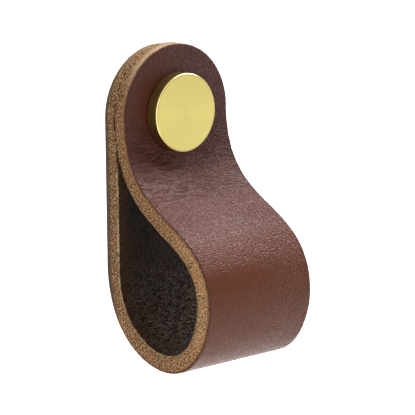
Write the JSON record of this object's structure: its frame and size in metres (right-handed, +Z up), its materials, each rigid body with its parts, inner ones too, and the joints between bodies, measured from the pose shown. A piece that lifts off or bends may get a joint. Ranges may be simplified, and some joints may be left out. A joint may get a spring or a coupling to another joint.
{
  "type": "leather loop cabinet knob",
  "caption": "Folded leather loop pull for a cabinet door or drawer, clamped by a flat round brass button that takes the door screw.",
  "frame": {"origin": "on the button's axis, in the plane of the door that the strap's rear layer lies against", "axes": "+X across the strap, +Y into the door along the button's axis, +Z up"},
  "size_m": [0.028, 0.0306, 0.0638],
  "materials": {
    "brown_leather": "grained, soft sheen, raw cut edges",
    "satin_brass": "satin turned"
  },
  "bodies": {
    "root": {"leather_strap": "brown_leather", "brass_button": "satin_brass"}
  },
  "joints": []
}
